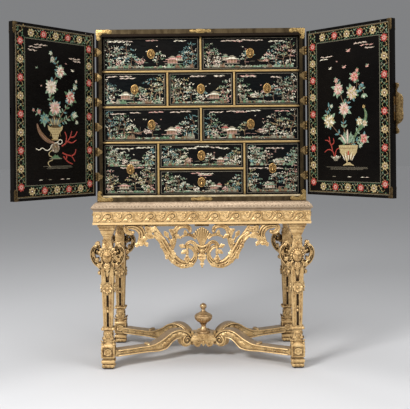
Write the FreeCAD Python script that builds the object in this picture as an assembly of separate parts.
import FreeCAD, Part
import math
import os

os.makedirs("parts", exist_ok=True)
Vec = FreeCAD.Vector

# Lacquer cabinet with two doors and eleven drawers, on a carved and gilt stand.
# Lengths are in millimetres. X runs to the right, Y to the back and Z up.
# The origin is on the floor, under the middle of the stand, and the doors face -Y.

# Overall sizes
case_width = 1000.0
case_depth = 560.0
case_height = 826.0
stand_height = 800.0

# Boards of the case
side_thickness = 27.0
top_thickness = 22.0
bottom_thickness = 22.0
back_thickness = 12.0
partition_thickness = 10.0
top_lining_height = 12.0
bottom_lining_height = 9.0
lining_setback = 1.5
bead_projection = 5.0
bead_facets = 5

# Drawers
drawer_recess = 30.0
upper_row_height = 161.0
second_row_middle_width = 312.0
lowest_row_middle_width = 405.0
drawer_side_gap = 1.0
drawer_top_gap = 1.2
drawer_bottom_gap = 0.3
drawer_back_room = 18.0
drawer_front_thickness = 14.0
drawer_side_thickness = 10.0
drawer_bottom_thickness = 8.0

# Pull plates and drop pulls
plate_width = 38.0
plate_height = 48.0
plate_thickness = 2.0
plate_sides = 12
plate_rim = 5.0
plate_rim_height = 1.0
pull_pin_height = 8.0
pull_pin_radius = 1.0
pull_pin_sides = 8
pull_pin_clearance = 0.06
pull_ear_thickness = 1.6
pull_ear_width = 5.0
pull_ear_gap = 0.4
pull_eye_thickness = 3.2
pull_eye_radius = 2.6
pull_length = 25.0
pull_radius = 5.0
pull_plate_gap = 0.5
pull_sides = 6

# Doors
door_thickness = 24.0
door_bottom_margin = 31.0
door_top_margin = 20.0
door_meeting_gap = 1.5
door_case_gap = 3.0
left_door_open_angle = 126.0
right_door_open_angle = 130.0

# Hinges
hinge_count = 6
hinge_end_margin = 90.0
hinge_height = 40.0
hinge_leaf_thickness = 1.5
hinge_axis_out = 4.5
hinge_axis_forward = 8.5
hinge_knuckle_radius = 5.0
hinge_knuckle_sides = 8
hinge_pin_radius = 2.2
hinge_pin_sides = 12
hinge_pin_clearance = 0.06
hinge_knuckle_gap = 0.4
hinge_end_knuckle_share = 0.3
hinge_door_leaf_width = 48.0
hinge_web_width = 4.0

# Brass mounts
mount_thickness = 1.5
corner_mount_length = 76.0
corner_mount_drop = 52.0
corner_mount_tip = 12.0
centre_mount_width = 104.0
door_corner_size = 62.0
door_corner_band = 24.0
door_inner_corner_width = 24.0
door_inner_corner_height = 51.0

# Lock
lock_plate_width = 75.0
lock_plate_height = 221.0
lock_plate_thickness = 3.0
lock_plate_relief = 0.6
lock_case_height = 104.0
lock_case_width = 44.0
lock_case_depth = 12.0
bolt_height = 30.0
bolt_thickness = 6.0
bolt_length = 26.0
bolt_travel = 12.0
bolt_clearance = 0.3
bolt_setback = 0.7
keyhole_radius = 3.5
keyhole_drop = 12.0
keyhole_slot = 3.0

# Top moulding and frieze of the stand
ledge_side = 25.0
ledge_front = 52.0
moulding_width = 25.0
moulding_drop = 24.0
moulding_lip = 6.0
moulding_hollow = 14.0
frieze_setback = 10.0
frieze_height = 61.0
frieze_thickness = 24.0
frieze_lip_height = 11.0
frieze_lip_projection = 3.0

# Legs
leg_inset = 71.0
foot_height = 45.0
foot_neck_height = 9.0
foot_neck_width = 50.0
block_height = 58.0
block_width = 64.0
block_panel_margin = 9.0
block_panel_depth = 2.0
flare_height = 16.0
ankle_width = 40.0
ankle_height = 57.0
collar_width = 56.0
collar_height = 13.0
shaft_top_width = 58.0
head_height = 115.0
head_width = 50.0
neck_height = 61.0
neck_width = 38.0
capital_width = 87.0
capital_height = 48.0
upper_slot_top_width = 26.0
upper_slot_bottom_width = 16.0
upper_slot_length_share = 0.159
upper_slot_web = 28.0
lower_slot_width = 9.0
lower_slot_length_share = 0.568
lower_slot_web = 16.0
rosette_radius_share = 0.0947
rosette_projection = 5.0
ear_depth = 42.0
ear_width = 19.0
knop_radius = 12.0
mask_width = 48.0
mask_height = 76.0
mask_projection = 22.0

# Pierced apron under the front of the frieze
apron_leg_gap = 76.0
apron_drop = 206.0
apron_thickness = 22.0
apron_setback = 3.0

# Stretcher, its platform and the urn finial
stretcher_width = 55.0
stretcher_bottom = 55.0
stretcher_strap_height = 33.0
stretcher_rise = 88.0
stretcher_volute_radius = 32.0
stretcher_bump_radius = 11.0
platform_width = 128.0
platform_depth = 156.0
platform_height = 30.0
platform_tab_drop = 27.0
platform_top = 108.0
urn_height = 152.0
urn_radius = 46.0
urn_sides = 12

# How far a cutting shape runs past the face that it opens
overrun = 5.0

# Levels and faces worked out from the sizes above
case_bottom = stand_height
case_top = stand_height + case_height
front_face = -case_depth / 2
back_face = case_depth / 2
inner_half_width = case_width / 2 - side_thickness
opening_bottom = case_bottom + bottom_thickness
opening_top = case_top - top_thickness
field_bottom = opening_bottom + bottom_lining_height
field_top = opening_top - top_lining_height
drawer_face = front_face + drawer_recess
drawer_length = case_depth - drawer_recess - back_thickness - drawer_back_room
partition_back = back_face - back_thickness
door_bottom = case_bottom + door_bottom_margin
door_top = case_top - door_top_margin
door_inner_face = front_face - door_case_gap
door_outer_face = door_inner_face - door_thickness
hinge_axis_x = case_width / 2 + hinge_axis_out
hinge_axis_y = front_face - hinge_axis_forward
door_edge_gap = hinge_knuckle_radius + hinge_leaf_thickness
door_hinge_edge = hinge_axis_x - door_edge_gap
tip_half_width = case_width / 2 + ledge_side
tip_half_depth = case_depth / 2 + ledge_front
leg_x = tip_half_width - leg_inset
leg_y = tip_half_depth - leg_inset
moulding_bottom = stand_height - moulding_drop - moulding_lip - moulding_hollow
frieze_half_width = tip_half_width - frieze_setback
frieze_half_depth = tip_half_depth - frieze_setback
frieze_bottom = moulding_bottom - frieze_height
block_bottom = foot_height + foot_neck_height
block_top = block_bottom + block_height
collar_bottom = block_top + flare_height + ankle_height
shaft_bottom = collar_bottom + collar_height
neck_top = frieze_bottom - capital_height
head_top = neck_top - neck_height
shaft_top = head_top - head_height
shaft_height = shaft_top - shaft_bottom
upper_slot_height = shaft_height * upper_slot_length_share
lower_slot_height = shaft_height * lower_slot_length_share
rosette_radius = shaft_height * rosette_radius_share
apron_half_width = leg_x - apron_leg_gap
arm_angle = math.degrees(math.atan2(leg_y, leg_x))
stretcher_reach = (leg_x - platform_width / 2) / math.cos(math.radians(arm_angle))
up = Vec(0, 0, 1)


def box(x0, x1, y0, y1, z0, z1):
    """A box between two limits along each axis."""
    return Part.makeBox(x1 - x0, y1 - y0, z1 - z0, Vec(x0, y0, z0))


def front_face_of(points, y):
    """A flat face in a plane that faces the front, from points given as (x, z)."""
    area = sum(a[0] * b[1] - b[0] * a[1] for a, b in zip(points, points[1:] + points[:1]))
    corners = [Vec(x, y, z) for x, z in (points if area > 0 else points[::-1])]
    return Part.Face(Part.makePolygon(corners + corners[:1]))


def front_prism(points, y0, y1):
    """An outline seen from the front, given depth from y0 to y1."""
    return front_face_of(points, y0).extrude(Vec(0, y1 - y0, 0))


def rod(start, run, radius, sides):
    """A few-sided rod from a start along a run that is parallel to X or to Z."""
    turn = 2 * math.pi / sides
    corners = []
    for i in range(sides):
        a = radius * math.cos(turn * (i + 0.5))
        b = radius * math.sin(turn * (i + 0.5))
        corners.append(start + (Vec(0, a, b) if run.x else Vec(a, b, 0)))
    return Part.Face(Part.makePolygon(corners + corners[:1])).extrude(run)


def bore_rod(start, run, pin_radius, clearance, sides):
    """The rod that cuts a bore whose flat sides clear a pin's corners all round."""
    across_corners = (pin_radius + clearance) / math.cos(math.pi / sides)
    return rod(start, run, across_corners, sides)


def oval_points(half_width, half_height, sides, middle_x, middle_z):
    """Corners of a many-sided oval, seen from the front."""
    turn = 2 * math.pi / sides
    return [
        (
            middle_x + half_width * math.cos(turn * (i + 0.5)),
            middle_z + half_height * math.sin(turn * (i + 0.5)),
        )
        for i in range(sides)
    ]


def stacked(rings):
    """A solid with flat facets between rings of corners, closed at both ends."""
    count = len(rings[0])
    faces = []
    for lower, upper in zip(rings, rings[1:]):
        for i in range(count):
            j = (i + 1) % count
            corners = [lower[i], lower[j], upper[j], upper[i]]
            faces.append(Part.Face(Part.makePolygon(corners + corners[:1])))
    faces.append(Part.Face(Part.makePolygon(rings[0] + rings[0][:1])))
    faces.append(Part.Face(Part.makePolygon(rings[-1] + rings[-1][:1])))
    solid = Part.makeSolid(Part.makeShell(faces))
    if solid.Volume < 0:
        solid.reverse()
    return solid


def square_stack(levels, middle_x, middle_y):
    """A square post whose width changes with height, from (z, width) levels."""
    rings = []
    for z, width in levels:
        h = width / 2
        corners = ((-h, -h), (h, -h), (h, h), (-h, h))
        rings.append([Vec(middle_x + x, middle_y + y, z) for x, y in corners])
    return stacked(rings)


def band(points, widths):
    """The face of a curved strap in the XZ plane, along points (x, z), with a width at each."""
    left = []
    right = []
    last = len(points) - 1
    for i, (x, z) in enumerate(points):
        before = points[max(i - 1, 0)]
        after = points[min(i + 1, last)]
        length = math.hypot(after[0] - before[0], after[1] - before[1])
        side_x = -(after[1] - before[1]) / length * widths[i] / 2
        side_z = (after[0] - before[0]) / length * widths[i] / 2
        left.append((x + side_x, z + side_z))
        right.append((x - side_x, z - side_z))
    return front_face_of(left + right[::-1], 0)


def joined_prism(faces, y0, y1):
    """Overlapping faces of the XZ plane joined into one outline and given depth."""
    joined = faces[0].multiFuse(faces[1:]).removeSplitter()
    solid = max(joined.Faces, key=lambda face: face.Area).extrude(Vec(0, y1 - y0, 0))
    solid.translate(Vec(0, y0, 0))
    return solid


def mirrored_x(shape):
    """The shape reflected to the other side of the cabinet."""
    return shape.mirror(Vec(0, 0, 0), Vec(1, 0, 0))


def make_case_boards():
    """The five boards of the case: top, bottom, two sides and the back."""
    half = case_width / 2
    left_side = box(-half, -inner_half_width, front_face, back_face, opening_bottom, opening_top)
    return {
        "case_top": box(-half, half, front_face, back_face, opening_top, case_top),
        "case_bottom": box(-half, half, front_face, back_face, case_bottom, opening_bottom),
        "case_left_side": left_side,
        "case_right_side": mirrored_x(left_side),
        "case_back": box(
            -inner_half_width, inner_half_width, partition_back, back_face, opening_bottom, opening_top
        ),
    }


def drawer_rows():
    """The clear openings of the four rows from the top, as lists of (x0, x1, z0, z1)."""
    half_partition = partition_thickness / 2
    w = inner_half_width
    rows = []
    z = field_top
    for middle_width in (None, second_row_middle_width, None):
        low = z - upper_row_height
        if middle_width is None:
            spans = [(-w, -half_partition), (half_partition, w)]
        else:
            m = middle_width / 2
            spans = [(-w, -m - partition_thickness), (-m, m), (m + partition_thickness, w)]
        rows.append([(x0, x1, low, z) for x0, x1 in spans])
        z = low - partition_thickness
    m = lowest_row_middle_width / 2
    middle = (z + field_bottom) / 2
    rows.append(
        [
            (-w, -m - partition_thickness, field_bottom, z),
            (-m, m, middle + half_partition, z),
            (-m, m, field_bottom, middle - half_partition),
            (m + partition_thickness, w, field_bottom, z),
        ]
    )
    return rows


def make_partitions(rows):
    """Dust boards, upright dividers and the gilt half-round beads on their front edges."""
    w = inner_half_width
    lining_front = front_face + lining_setback
    boards = [
        box(-w, w, lining_front, partition_back, opening_bottom, field_bottom),
        box(-w, w, lining_front, partition_back, field_top, opening_top),
    ]
    beads = []
    half_bead = partition_thickness / 2

    steps = [math.pi * i / bead_facets for i in range(bead_facets + 1)]
    bead_section = [(half_bead * math.cos(turn), bead_projection * math.sin(turn)) for turn in steps]

    def bead_across(x0, x1, z):
        corners = [Vec(x0, drawer_face - rise, z + across) for across, rise in bead_section]
        beads.append(Part.Face(Part.makePolygon(corners + corners[:1])).extrude(Vec(x1 - x0, 0, 0)))

    def bead_upright(x, z0, z1):
        corners = [Vec(x + across, drawer_face - rise, z0) for across, rise in bead_section]
        beads.append(Part.Face(Part.makePolygon(corners + corners[:1])).extrude(Vec(0, 0, z1 - z0)))

    for row in rows[:-1]:
        low = row[0][2]
        boards.append(box(-w, w, drawer_face, partition_back, low - partition_thickness, low))
        bead_across(-w, w, low - half_bead)
    upper, lower = rows[-1][1], rows[-1][2]
    boards.append(box(upper[0], upper[1], drawer_face, partition_back, lower[3], upper[2]))
    bead_across(upper[0], upper[1], upper[2] - half_bead)

    dividers = []
    for row in rows:
        low = min(cell[2] for cell in row)
        high = max(cell[3] for cell in row)
        right_edges = sorted({cell[1] for cell in row})
        for x in right_edges[:-1]:
            dividers.append(box(x, x + partition_thickness, drawer_face, partition_back, low, high))
            bead_upright(x + half_bead, low, high)
    return {"dust_boards": boards, "dividers": dividers, "gilt_beads": beads}


def make_drawer(cell):
    """One drawer: front board, two sides, back and bottom, closed in its opening."""
    x0 = cell[0] + drawer_side_gap
    x1 = cell[1] - drawer_side_gap
    z0 = cell[2] + drawer_bottom_gap
    z1 = cell[3] - drawer_top_gap
    y0 = drawer_face
    y1 = drawer_face + drawer_length
    inner_y = y0 + drawer_front_thickness
    t = drawer_side_thickness
    floor_top = z0 + drawer_bottom_thickness
    return [
        box(x0, x1, y0, inner_y, z0, z1),
        box(x0, x0 + t, inner_y, y1, z0, z1),
        box(x1 - t, x1, inner_y, y1, z0, z1),
        box(x0 + t, x1 - t, y1 - t, y1, z0, z1),
        box(x0 + t, x1 - t, inner_y, y1 - t, z0, floor_top),
    ]


def pull_axis(cell):
    """The middle of the hinge pin of a drawer's pull."""
    x = (cell[0] + cell[1]) / 2
    z = (cell[2] + cell[3]) / 2 + pull_pin_height
    y = drawer_face - plate_thickness - pull_plate_gap - pull_radius
    return Vec(x, y, z)


def make_plate(cell):
    """Oval brass plate with a raised rim, and the two ears and pin that carry the pull."""
    axis = pull_axis(cell)
    x = axis.x
    z = axis.z - pull_pin_height
    front = drawer_face - plate_thickness
    w = plate_width / 2
    h = plate_height / 2
    oval = oval_points(w, h, plate_sides, x, z)
    plate = front_prism(oval, drawer_face, front - plate_rim_height)
    dish = oval_points(w - plate_rim, h - plate_rim, plate_sides, x, z)
    plate = plate.cut(front_prism(dish, front, front - plate_rim_height - overrun))
    ear_inner = pull_eye_thickness / 2 + pull_ear_gap
    ear_outer = ear_inner + pull_ear_thickness
    half_ear = pull_ear_width / 2
    for side in (-1, 1):
        a, b = sorted((x + side * ear_inner, x + side * ear_outer))
        plate = plate.fuse(box(a, b, axis.y - half_ear, front, axis.z - half_ear, axis.z + half_ear))
    pin_half = (ear_inner + ear_outer) / 2
    pin = rod(Vec(x - pin_half, axis.y, axis.z), Vec(2 * pin_half, 0, 0), pull_pin_radius, pull_pin_sides)
    return plate.fuse(pin).removeSplitter()


def make_pull(cell):
    """Pear-shaped drop that hangs from the pin by its eye."""
    axis = pull_axis(cell)
    turn = 2 * math.pi / pull_sides
    length_shares = (0.06, 0.30, 0.58, 0.78, 1.0)
    radius_shares = (0.30, 0.30, 0.80, 1.0, 0.30)
    rings = []
    for drop, swell in zip(length_shares, radius_shares):
        r = pull_radius * swell
        z = axis.z - pull_length * drop
        corners = [(r * math.cos(turn * i), r * math.sin(turn * i)) for i in range(pull_sides)]
        rings.append([Vec(axis.x + a, axis.y + b, z) for a, b in corners])
    half = pull_eye_thickness / 2
    r = pull_eye_radius
    eye = box(axis.x - half, axis.x + half, axis.y - r, axis.y + r, axis.z - r, axis.z + r)
    bore_start = Vec(axis.x - half - overrun, axis.y, axis.z)
    bore_run = Vec(pull_eye_thickness + 2 * overrun, 0, 0)
    bore = bore_rod(bore_start, bore_run, pull_pin_radius, pull_pin_clearance, pull_pin_sides)
    return eye.fuse(stacked(rings)).cut(bore).removeSplitter()


def hinge_levels():
    """Heights of the middles of the hinges of one door, evenly spaced."""
    low = door_bottom + hinge_end_margin
    high = door_top - hinge_end_margin
    step = (high - low) / (hinge_count - 1)
    return [low + step * i for i in range(hinge_count)]


def knuckle(z0, z1):
    """A few-sided knuckle about the left hinge axis, between two heights."""
    start = Vec(-hinge_axis_x, hinge_axis_y, z0)
    return rod(start, Vec(0, 0, z1 - z0), hinge_knuckle_radius, hinge_knuckle_sides)


def make_case_hinge(z):
    """Left hinge's leaf on the front edge of the case, with its end knuckles and its pin."""
    half = hinge_height / 2
    inner = -inner_half_width
    edge = -case_width / 2
    waist = (edge + inner) / 2
    end_length = hinge_height * hinge_end_knuckle_share
    leaf_back = front_face - hinge_leaf_thickness
    leaf_points = [
        (edge, z - half),
        (waist, z - half * 0.9),
        (inner, z),
        (waist, z + half * 0.9),
        (edge, z + half),
    ]
    pieces = [front_prism(leaf_points, leaf_back, front_face)]
    web_outer = -hinge_axis_x - hinge_web_width / 2
    for low in (z - half, z + half - end_length):
        high = low + end_length
        pieces.append(knuckle(low, high))
        pieces.append(box(web_outer, web_outer + hinge_web_width, hinge_axis_y, leaf_back, low, high))
        pieces.append(box(web_outer, edge, leaf_back, front_face, low, high))
    pin_start = Vec(-hinge_axis_x, hinge_axis_y, z - half + end_length / 2)
    pin_run = Vec(0, 0, hinge_height - end_length)
    pieces.append(rod(pin_start, pin_run, hinge_pin_radius, hinge_pin_sides))
    return pieces[0].multiFuse(pieces[1:]).removeSplitter()


def make_door_hinge(z):
    """Left hinge's middle knuckle, and its leaf round the edge and onto the front of the door."""
    end_length = hinge_height * hinge_end_knuckle_share
    half = hinge_height / 2
    low = z - half + end_length + hinge_knuckle_gap
    high = z + half - end_length - hinge_knuckle_gap
    edge = -door_hinge_edge
    start = edge - hinge_leaf_thickness
    leaf_front = door_outer_face - hinge_leaf_thickness
    web_front = hinge_axis_y - hinge_pin_radius
    web_back = hinge_axis_y + hinge_pin_radius
    strap = box(-hinge_axis_x, edge, web_front, web_back, low, high)
    edge_plate = box(start, edge, leaf_front, web_back, low, high)
    width = hinge_door_leaf_width
    leaf_points = [
        (start, low),
        (start + width * 0.25, z - half * 0.7),
        (start + width * 0.45, z - half),
        (start + width * 0.75, z - half * 0.55),
        (start + width, z),
        (start + width * 0.75, z + half * 0.55),
        (start + width * 0.45, z + half),
        (start + width * 0.25, z + half * 0.7),
        (start, high),
    ]
    leaf = front_prism(leaf_points, leaf_front, door_outer_face)
    bore_start = Vec(-hinge_axis_x, hinge_axis_y, low - overrun)
    bore_run = Vec(0, 0, high - low + 2 * overrun)
    bore = bore_rod(bore_start, bore_run, hinge_pin_radius, hinge_pin_clearance, hinge_pin_sides)
    return knuckle(low, high).multiFuse([strap, edge_plate, leaf]).cut(bore).removeSplitter()


def corner_outline(x, z, side_x, side_z, length, drop, band_x, band_z, tip):
    """An L-shaped mount with cusped ends, from its outer corner, as (x, z) points."""
    shape = [
        (0, 0),
        (length - tip, 0),
        (length, band_z * 0.5),
        (length - tip, band_z),
        (length - 2 * tip, band_z * 0.8),
        (length - 3 * tip, band_z),
        (band_x, band_z),
        (band_x, drop - 2 * tip),
        (band_x * 0.8, drop - tip),
        (band_x * 0.5, drop),
        (0, drop - tip),
    ]
    return [(x + side_x * a, z + side_z * b) for a, b in shape]


def make_case_mounts():
    """Brass mounts on the front of the case: four corners, top centre and bottom centre."""
    mounts = []
    half = case_width / 2
    for side_x in (-1, 1):
        for z, side_z, thickness in ((case_top, -1, top_thickness), (case_bottom, 1, bottom_thickness)):
            points = corner_outline(
                side_x * half,
                z,
                -side_x,
                side_z,
                corner_mount_length,
                corner_mount_drop,
                side_thickness * 0.85,
                thickness,
                corner_mount_tip,
            )
            mounts.append(front_prism(points, front_face - mount_thickness, front_face))
    w = centre_mount_width / 2
    for z, thickness in ((opening_top, top_thickness), (case_bottom, bottom_thickness)):
        points = [
            (-w, z + thickness * 0.5),
            (-w * 0.75, z + thickness * 0.1),
            (-w * 0.35, z),
            (w * 0.35, z),
            (w * 0.75, z + thickness * 0.1),
            (w, z + thickness * 0.5),
            (w * 0.75, z + thickness * 0.9),
            (w * 0.35, z + thickness),
            (-w * 0.35, z + thickness),
            (-w * 0.75, z + thickness * 0.9),
        ]
        mounts.append(front_prism(points, front_face - mount_thickness, front_face))
    return mounts


def lock_middle():
    """Height of the middle of the lock."""
    return (door_bottom + door_top) / 2


def bolt_box(clearance, extra):
    """The bolt's bar in the closed right door, grown by a clearance and lengthened to the left."""
    x0 = door_meeting_gap / 2 + bolt_setback
    y0 = door_outer_face + (lock_case_depth - bolt_thickness) / 2
    z = lock_middle()
    return box(
        x0 - extra,
        x0 + bolt_length + clearance,
        y0 - clearance,
        y0 + bolt_thickness + clearance,
        z - bolt_height / 2 - clearance,
        z + bolt_height / 2 + clearance,
    )


def make_left_door():
    """Left door panel, closed, with the mortise that takes the bolt."""
    panel = box(
        -door_hinge_edge, -door_meeting_gap / 2, door_outer_face, door_inner_face, door_bottom, door_top
    )
    reach = bolt_travel + door_meeting_gap + overrun
    return panel.cut(bolt_box(2 * bolt_clearance, reach))


def make_right_door():
    """Right door panel, closed, with the recess of the lock case in its outer face."""
    x0 = door_meeting_gap / 2
    panel = box(x0, door_hinge_edge, door_outer_face, door_inner_face, door_bottom, door_top)
    z = lock_middle()
    recess = box(
        x0 - overrun,
        x0 + lock_case_width,
        door_outer_face - overrun,
        door_outer_face + lock_case_depth,
        z - lock_case_height / 2,
        z + lock_case_height / 2,
    )
    return panel.cut(recess)


def make_lock():
    """Lock plate with scrolled ends over the meeting of the doors, and the lock case behind it."""
    z = lock_middle()
    w = lock_plate_width / 2
    h = lock_plate_height / 2
    width_shares = (0.16, 0.44, 0.50, 0.30, 0.22, 0.62, 0.96, 1.0)
    height_shares = (1.0, 0.93, 0.82, 0.72, 0.62, 0.53, 0.40, 0.20)
    quarter = [(w * a, h * b) for a, b in zip(width_shares, height_shares)]
    right_half = quarter + [(x, -y) for x, y in reversed(quarter)]
    outline = right_half + [(-x, y) for x, y in reversed(right_half)]
    outline = [(x, z + y) for x, y in outline]
    front = door_outer_face - lock_plate_thickness
    plate = front_prism(outline, front, door_outer_face)
    relief = box(
        -w - overrun,
        door_meeting_gap / 2,
        door_outer_face - lock_plate_relief,
        door_outer_face + overrun,
        z - h,
        z + h,
    )
    plate = plate.cut(relief)
    x0 = door_meeting_gap / 2
    case = box(
        x0,
        x0 + lock_case_width,
        door_outer_face,
        door_outer_face + lock_case_depth,
        z - lock_case_height / 2,
        z + lock_case_height / 2,
    )
    case = case.cut(bolt_box(bolt_clearance, bolt_setback + overrun))
    key_x = x0 + lock_case_width * 0.4
    key_hole = Part.makeCylinder(
        keyhole_radius, lock_plate_thickness + 2 * overrun, Vec(key_x, front - overrun, z), Vec(0, 1, 0)
    )
    key_slot = box(
        key_x - keyhole_slot / 2,
        key_x + keyhole_slot / 2,
        front - overrun,
        door_outer_face + overrun,
        z - keyhole_drop,
        z,
    )
    depth_limit = box(-w, w, front - overrun, door_outer_face, z - h, z + h)
    keyhole = key_hole.fuse(key_slot).common(depth_limit)
    return [plate.cut(keyhole), case]


def make_door_mounts(door_edge):
    """Brass corners of the left door, closed: four outside and two inside the free edge."""
    mounts = []
    free_edge = -door_meeting_gap / 2
    for z, side_z in ((door_top, -1), (door_bottom, 1)):
        for x, side_x in ((door_edge, 1), (free_edge, -1)):
            points = corner_outline(
                x,
                z,
                side_x,
                side_z,
                door_corner_size,
                door_corner_size,
                door_corner_band,
                door_corner_band,
                corner_mount_tip,
            )
            mounts.append(front_prism(points, door_outer_face - mount_thickness, door_outer_face))
        w = door_inner_corner_width
        h = door_inner_corner_height
        shape_shares = ((0, 0), (1, 0), (1, 0.2), (0.6, 0.3), (0.6, 0.85), (0.3, 1), (0, 0.9))
        points = [(free_edge - w * a, z + side_z * h * b) for a, b in shape_shares]
        mounts.append(front_prism(points, door_inner_face, door_inner_face + mount_thickness))
    return mounts


def opened(shape, side):
    """A shape of the closed left (-1) or right (1) door turned to where the door stands open."""
    angle = left_door_open_angle if side < 0 else right_door_open_angle
    turned = shape.copy()
    turned.rotate(Vec(side * hinge_axis_x, hinge_axis_y, 0), up, side * angle)
    return turned


def make_stand_top():
    """Top slab whose moulded edge runs out to a lip and back in a hollow, mitred at the corners."""
    def slab_profile(half_size):
        inner = half_size - moulding_width
        lip_top = stand_height - moulding_drop
        lip_bottom = lip_top - moulding_lip
        neck = half_size - frieze_setback
        slope_top = Vec(inner + moulding_width * 0.12, 0, stand_height)
        right = [
            Part.makeLine(Vec(inner, 0, stand_height), slope_top),
            Part.Arc(
                slope_top,
                Vec(inner + moulding_width * 0.55, 0, stand_height - moulding_drop * 0.38),
                Vec(half_size, 0, lip_top),
            ).toShape(),
            Part.makeLine(Vec(half_size, 0, lip_top), Vec(half_size, 0, lip_bottom)),
            Part.Arc(
                Vec(half_size, 0, lip_bottom),
                Vec(neck + frieze_setback * 0.3, 0, lip_bottom - moulding_hollow * 0.35),
                Vec(neck, 0, moulding_bottom),
            ).toShape(),
        ]
        left = [edge.mirror(Vec(0, 0, 0), Vec(1, 0, 0)) for edge in right]
        top = Part.makeLine(Vec(-inner, 0, stand_height), Vec(inner, 0, stand_height))
        low = Part.makeLine(Vec(-neck, 0, moulding_bottom), Vec(neck, 0, moulding_bottom))
        return Part.Face(Part.Wire(Part.__sortEdges__(right + left + [top, low])))

    along_y = slab_profile(tip_half_width).extrude(Vec(0, 2 * tip_half_depth, 0))
    along_y.translate(Vec(0, -tip_half_depth, 0))
    along_x = slab_profile(tip_half_depth).extrude(Vec(0, 2 * tip_half_width, 0))
    along_x.translate(Vec(0, -tip_half_width, 0))
    along_x.rotate(Vec(0, 0, 0), up, 90)
    return along_y.common(along_x)


def make_frieze():
    """Four frieze rails with a bead along the lower edge, as one mitred frame."""
    lip_top = frieze_bottom + frieze_lip_height
    w = frieze_half_width
    d = frieze_half_depth
    p = frieze_lip_projection
    board = box(-w, w, -d, d, lip_top, moulding_bottom)
    lip = box(-w - p, w + p, -d - p, d + p, frieze_bottom, lip_top)
    t = frieze_thickness
    hollow = box(-w + t, w - t, -d + t, d - t, frieze_bottom - overrun, moulding_bottom + overrun)
    return board.fuse(lip).cut(hollow).removeSplitter()


def leg_levels():
    """Widths of the leg from the base block to the capital, as (z, width)."""
    flare_shares = ((0.0, 0.96), (0.2, 0.94), (0.75, 0.7))
    collar_shares = ((0.0, 0.86), (0.25, 1.0), (0.75, 1.0), (1.0, 0.86))
    neck_shares = ((0.0, 1.26), (0.2, 1.08), (0.5, 1.0), (0.85, 1.05))
    capital_shares = (
        (0.0, 0.62), (0.22, 0.72), (0.42, 0.74), (0.45, 0.86), (0.72, 0.9), (0.76, 1.0), (1.0, 1.0),
    )
    levels = [(block_bottom, block_width), (block_top, block_width)]
    levels += [(block_top + flare_height * a, block_width * b) for a, b in flare_shares if a > 0]
    levels += [(block_top + flare_height, ankle_width), (collar_bottom, ankle_width)]
    levels += [(collar_bottom + collar_height * a, collar_width * b) for a, b in collar_shares if 0 < a < 1]
    levels += [(shaft_bottom, ankle_width), (shaft_top, shaft_top_width)]
    levels += [(shaft_top + head_height * 0.2, head_width), (head_top - head_height * 0.1, head_width)]
    levels += [(head_top + neck_height * a, neck_width * b) for a, b in neck_shares]
    levels += [(neck_top + capital_height * a, capital_width * b) for a, b in capital_shares]
    return levels


def turned_four(shape):
    """The shape as it is and turned to the other three faces of the leg."""
    copies = []
    for quarter in range(4):
        turned = shape.copy()
        turned.rotate(Vec(0, 0, 0), up, 90 * quarter)
        copies.append(turned)
    return copies


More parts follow.
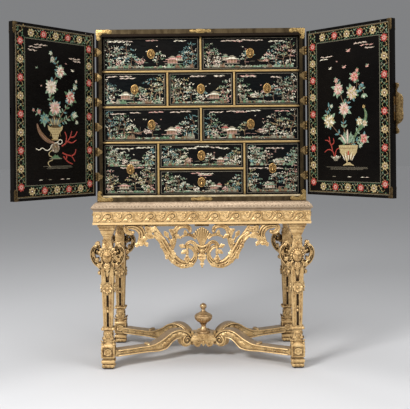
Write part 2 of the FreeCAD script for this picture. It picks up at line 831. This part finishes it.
def make_leg():
    """Carved leg about the Z axis: base block, slotted shaft, scrolled head with a mask, capital."""
    post = square_stack(leg_levels(), 0, 0)
    reach = capital_width
    cuts = []
    upper_low = shaft_top - upper_slot_height
    upper_slot = front_prism(
        [
            (-upper_slot_bottom_width / 2, upper_low),
            (upper_slot_bottom_width / 2, upper_low),
            (upper_slot_top_width / 2, shaft_top),
            (-upper_slot_top_width / 2, shaft_top),
        ],
        -reach,
        -upper_slot_web / 2,
    )
    cuts += turned_four(upper_slot)
    slot_margin = lower_slot_width / 2
    lower_slot = box(
        -lower_slot_width / 2,
        lower_slot_width / 2,
        -reach,
        -lower_slot_web / 2,
        shaft_bottom + slot_margin,
        shaft_bottom + slot_margin + lower_slot_height,
    )
    cuts += turned_four(lower_slot)
    panel_half = block_width / 2 - block_panel_margin
    panel = box(
        -panel_half,
        panel_half,
        -block_width / 2 - overrun,
        -block_width / 2 + block_panel_depth,
        block_bottom + block_panel_margin,
        block_top - block_panel_margin,
    )
    cuts += turned_four(panel)

    rosette_z = shaft_bottom + slot_margin + lower_slot_height + rosette_radius + slot_margin
    rise = (rosette_z - shaft_bottom) / shaft_height
    face = -(ankle_width + (shaft_top_width - ankle_width) * rise) / 2
    rings = []
    rise_shares = (0.4, 1.0)
    depths = [face / 2] + [face - rosette_projection * share for share in rise_shares]
    for radius_share, y in zip((1.0, 1.0, 0.6), depths):
        r = rosette_radius * radius_share
        rings.append([Vec(x, y, z) for x, z in oval_points(r, r, 8, 0, rosette_z)])
    ornaments = turned_four(stacked(rings))

    mask_z = shaft_top + head_height * 0.62
    mask_rings = []
    depths = (-head_width / 4, mask_projection * 0.45, mask_projection)
    for size_share, depth in zip((0.96, 1.0, 0.6), depths):
        y = -head_width / 2 - depth
        points = oval_points(mask_width / 2 * size_share, mask_height / 2 * size_share, 8, 0, mask_z)
        mask_rings.append([Vec(x, y, z) for x, z in points])
    ornaments.append(stacked(mask_rings))

    x = shaft_top_width / 2
    ear_shares = (
        (0.80, -0.08),
        (1.10, 0.10),
        (1.80, 0.27),
        (2.40, 0.50),
        (2.52, 0.78),
        (2.12, 1.0),
        (1.50, 1.01),
        (1.26, 0.82),
        (1.62, 0.70),
    )
    ear_points = [(x * a, shaft_top + head_height * b) for a, b in ear_shares]
    width_shares = (1.0, 1.0, 1.1, 1.1, 1.0, 1.0, 0.8, 0.7, 0.9)
    ear_band = band(ear_points, [ear_width * share for share in width_shares])
    knop_x = shaft_top_width / 2 + knop_radius * 0.7
    knop_z = shaft_top - knop_radius * 0.8
    knop = front_face_of(oval_points(knop_radius, knop_radius, 8, knop_x, knop_z), 0)
    link_half = ear_width * 0.4
    link_points = [
        (0, mask_z - link_half),
        (x * 1.6, mask_z - link_half),
        (x * 1.6, mask_z + link_half),
        (0, mask_z + link_half),
    ]
    link = front_face_of(link_points, 0)
    ear = joined_prism([ear_band, knop, link], -ear_depth / 2, ear_depth / 2)
    ornaments += [ear, mirrored_x(ear)]
    return post.multiFuse(ornaments).cut(cuts).removeSplitter()


def make_foot():
    """Moulded square foot with its narrow neck, about the Z axis."""
    foot_shares = (
        (0.0, 0.70), (0.10, 0.80), (0.42, 0.90), (0.54, 0.84), (0.58, 0.95), (0.9, 1.0), (1.0, 0.88),
    )
    levels = [(foot_height * a, block_width * b) for a, b in foot_shares]
    levels += [(foot_height, foot_neck_width), (block_bottom, foot_neck_width)]
    return square_stack(levels, 0, 0)


def on_four_legs(shape):
    """Copies of a shape at the four leg positions, front left, front right, back left, back right."""
    return [shape.translated(Vec(sx * leg_x, sy * leg_y, 0)) for sy in (-1, 1) for sx in (-1, 1)]


def make_apron():
    """Pierced apron of crossing scrolled straps, a shell and a drop, hung under the front rail."""
    w = apron_half_width
    h = apron_drop

    def placed(shares):
        return [(w * a, frieze_bottom - h * b) for a, b in shares]

    def strap(shares, width_shares):
        return band(placed(shares), [w * share for share in width_shares])

    bracket_shares = (
        (0.845, 0.20), (0.905, 0.20), (0.955, 0.12), (0.93, 0.04), (0.86, 0.03),
        (0.79, 0.10), (0.745, 0.24), (0.755, 0.38), (0.764, 0.47),
    )
    sweep_shares = (
        (0.60, 0.22), (0.505, 0.369), (0.455, 0.532), (0.393, 0.715), (0.335, 0.835),
        (0.268, 0.915), (0.198, 0.930), (0.134, 0.885), (0.090, 0.790), (0.080, 0.674),
        (0.116, 0.570), (0.175, 0.515), (0.230, 0.525),
    )
    sweep_width_shares = (
        0.075, 0.098, 0.112, 0.115, 0.112, 0.104, 0.096, 0.082, 0.066, 0.056, 0.050, 0.048, 0.045,
    )
    upright_shares = (
        (0.405, 0.66), (0.361, 0.463), (0.342, 0.275), (0.325, 0.134),
        (0.278, 0.050), (0.220, 0.035), (0.163, 0.086), (0.144, 0.170),
    )
    hook_shares = ((0.355, 0.45), (0.398, 0.40), (0.425, 0.288))
    side_hook_shares = ((0.49, 0.52), (0.455, 0.485), (0.398, 0.449))
    inner_shares = ((0.215, 0.520), (0.160, 0.425), (0.105, 0.440), (0.060, 0.600), (0.0, 0.679))
    frond_shares = ((0.080, 0.32), (0.124, 0.260), (0.208, 0.255), (0.272, 0.320))
    leaf_drop_shares = ((0.188, 0.49), (0.188, 0.697), (0.188, 0.860))
    batten_shares = ((0.0, 0.0), (0.82, 0.0), (0.82, 0.055), (0.0, 0.055))
    cluster_shares = ((0.72, 0.0), (0.50, 0.0), (0.48, 0.14), (0.53, 0.25), (0.62, 0.36), (0.72, 0.27))
    drop_shares = ((0.0, 0.65), (0.07, 0.66), (0.10, 0.84), (0.03, 0.88), (0.015, 1.0), (0.0, 1.0))
    shell_shares = ((0.03, 0.66), (0.07, 0.50), (0.105, 0.34), (0.095, 0.25), (0.05, 0.20), (0.03, 0.0))
    half = [
        strap(bracket_shares, (0.05, 0.06, 0.065, 0.07, 0.085, 0.095, 0.09, 0.095, 0.11)),
        strap(sweep_shares, sweep_width_shares),
        strap(upright_shares, (0.055, 0.062, 0.065, 0.065, 0.068, 0.065, 0.06, 0.055)),
        strap(frond_shares, (0.05, 0.034, 0.034, 0.02)),
        strap(hook_shares, (0.04, 0.035, 0.02)),
        strap(side_hook_shares, (0.04, 0.035, 0.02)),
        strap(inner_shares, (0.035, 0.045, 0.048, 0.05, 0.05)),
        strap(leaf_drop_shares, (0.035, 0.045, 0.02)),
        front_face_of(placed(batten_shares), 0),
        front_face_of(placed(cluster_shares), 0),
        front_face_of(placed(drop_shares), 0),
    ]
    other_half = [mirrored_x(face).reversed() for face in half]
    shell_right = placed(shell_shares)
    shell = front_face_of(shell_right + [(-x, z) for x, z in shell_right[::-1]], 0)
    y0 = -frieze_half_depth + apron_setback
    apron = joined_prism(half + other_half + [shell], y0, y0 + apron_thickness)
    return apron.common(box(-w, w, y0, y0 + apron_thickness, 0, frieze_bottom))


def make_stretcher_arms():
    """Four arms that leave the base blocks flat, rise in a scroll and curl down at the middle."""
    s = stretcher_reach
    low = stretcher_bottom
    high = low + stretcher_strap_height
    rise = stretcher_rise
    end_share = 0.69
    strap = front_face_of([(0, low), (s * end_share, low), (s * end_share, high), (0, high)], 0)
    scroll_shares = (
        (0.50, 0.20), (0.62, 0.38), (0.69, 0.50), (0.76, 0.69), (0.82, 0.78), (0.89, 0.77), (0.95, 0.64),
        (0.985, 0.44), (0.98, 0.28),
    )
    scroll_width_shares = (0.03, 0.08, 0.115, 0.10, 0.085, 0.08, 0.078, 0.065, 0.05)
    scroll_points = [(s * a, low + rise * b) for a, b in scroll_shares]
    scroll = band(scroll_points, [s * share for share in scroll_width_shares])
    volute_shares = (0.925, 0.36)
    volute_r = stretcher_volute_radius
    volute_x = s * volute_shares[0]
    volute_z = low + rise * volute_shares[1]
    volute = front_face_of(oval_points(volute_r, volute_r, 10, volute_x, volute_z), 0)
    bump_share = 0.455
    bump_r = stretcher_bump_radius
    bump = front_face_of(oval_points(bump_r, bump_r, 8, s * bump_share, high), 0)
    faces = [strap, scroll, volute, bump]
    arm = joined_prism(faces, -stretcher_width / 2, stretcher_width / 2)
    platform = make_platform()
    block_levels = [(block_bottom, block_width), (block_top + block_height, block_width)]
    block = square_stack(block_levels, -leg_x, -leg_y)
    placed = arm.rotated(Vec(0, 0, 0), up, arm_angle)
    placed.translate(Vec(-leg_x, -leg_y, 0))
    quadrant = box(-leg_x, 0, -leg_y - block_width, 0, 0, stand_height)
    placed = placed.cut([block] + platform).common(quadrant)
    front_left = max(placed.Solids, key=lambda solid: solid.Volume)
    front_right = mirrored_x(front_left)
    backs = [arm.mirror(Vec(0, 0, 0), Vec(0, 1, 0)) for arm in (front_left, front_right)]
    return [front_left, front_right] + backs


def make_platform():
    """Platform where the arms meet, with hanging tabs on its four sides."""
    w = platform_width / 2
    d = platform_depth / 2
    top = platform_top
    low = top - platform_height
    slab = box(-w, w, -d, d, low, top)
    tabs = []
    for half in (w, d):
        tab = [
            (half * 0.20, low),
            (half * 0.32, low - platform_tab_drop * 0.7),
            (half * 0.55, low - platform_tab_drop),
            (half * 0.78, low - platform_tab_drop * 0.7),
            (half * 0.90, low),
        ]
        other = [(-x, z) for x, z in reversed(tab)]
        tabs.append([tab, other])
    t = platform_tab_drop * 0.6
    pieces = []
    for points in tabs[0]:
        pieces.append(front_prism(points, -d, -d + t))
        pieces.append(front_prism(points, d - t, d))
    return [slab.multiFuse(pieces).removeSplitter()]


def make_urn():
    """Turned urn finial that stands on the platform."""
    shares = (
        (0.0, 0.72),
        (0.06, 0.72),
        (0.10, 0.58),
        (0.20, 0.40),
        (0.29, 0.24),
        (0.34, 0.30),
        (0.42, 0.70),
        (0.52, 0.97),
        (0.60, 1.0),
        (0.64, 0.86),
        (0.70, 0.46),
        (0.76, 0.20),
        (0.80, 0.17),
        (0.85, 0.34),
        (0.90, 0.39),
        (0.95, 0.33),
        (1.0, 0.10),
    )
    turn = 2 * math.pi / urn_sides
    rings = []
    for height, swell in shares:
        r = urn_radius * swell
        z = platform_top + urn_height * height
        rings.append([Vec(r * math.cos(turn * i), r * math.sin(turn * i), z) for i in range(urn_sides)])
    return stacked(rings)


def make_parts():
    """Every node of the cabinet by name, each with its list of solids."""
    parts = {name: [board] for name, board in make_case_boards().items()}
    rows = drawer_rows()
    parts.update(make_partitions(rows))
    row_names = ("top", "second", "third", "bottom")
    place_names = {
        2: ("left", "right"),
        3: ("left", "middle", "right"),
        4: ("left", "upper_middle", "lower_middle", "right"),
    }
    for row_name, row in zip(row_names, rows):
        for place, cell in zip(place_names[len(row)], row):
            name = row_name + "_" + place + "_drawer"
            parts[name] = make_drawer(cell)
            parts[name + "_plate"] = [make_plate(cell)]
            parts[name + "_pull"] = [make_pull(cell)]
    parts["case_front_mounts"] = make_case_mounts()

    levels = hinge_levels()
    left_case_hinges = [make_case_hinge(z) for z in levels]
    left_door_hinges = [make_door_hinge(z) for z in levels]
    parts["case_hinges"] = left_case_hinges + [mirrored_x(hinge) for hinge in left_case_hinges]
    left_mounts = left_door_hinges + make_door_mounts(-door_hinge_edge)
    parts["left_door"] = [opened(make_left_door(), -1)]
    parts["right_door"] = [opened(make_right_door(), 1)]
    parts["left_door_mounts"] = [opened(mount, -1) for mount in left_mounts]
    parts["right_door_mounts"] = [opened(mirrored_x(mount), 1) for mount in left_mounts]
    parts["door_lock"] = [opened(piece, 1) for piece in make_lock()]
    parts["lock_bolt"] = [opened(bolt_box(0, 0), 1)]

    parts["stand_top"] = [make_stand_top()]
    parts["frieze_rails"] = [make_frieze()]
    leg_names = ("front_left_leg", "front_right_leg", "back_left_leg", "back_right_leg")
    for name, leg in zip(leg_names, on_four_legs(make_leg())):
        parts[name] = [leg]
    parts["stand_feet"] = on_four_legs(make_foot())
    parts["front_apron"] = [make_apron()]
    parts["stretcher_arms"] = make_stretcher_arms()
    parts["stretcher_platform"] = make_platform()
    parts["urn_finial"] = [make_urn()]
    return parts


for node, solids in make_parts().items():
    shape = solids[0] if len(solids) == 1 else Part.makeCompound(solids)
    shape.exportStep("parts/" + node + ".step")
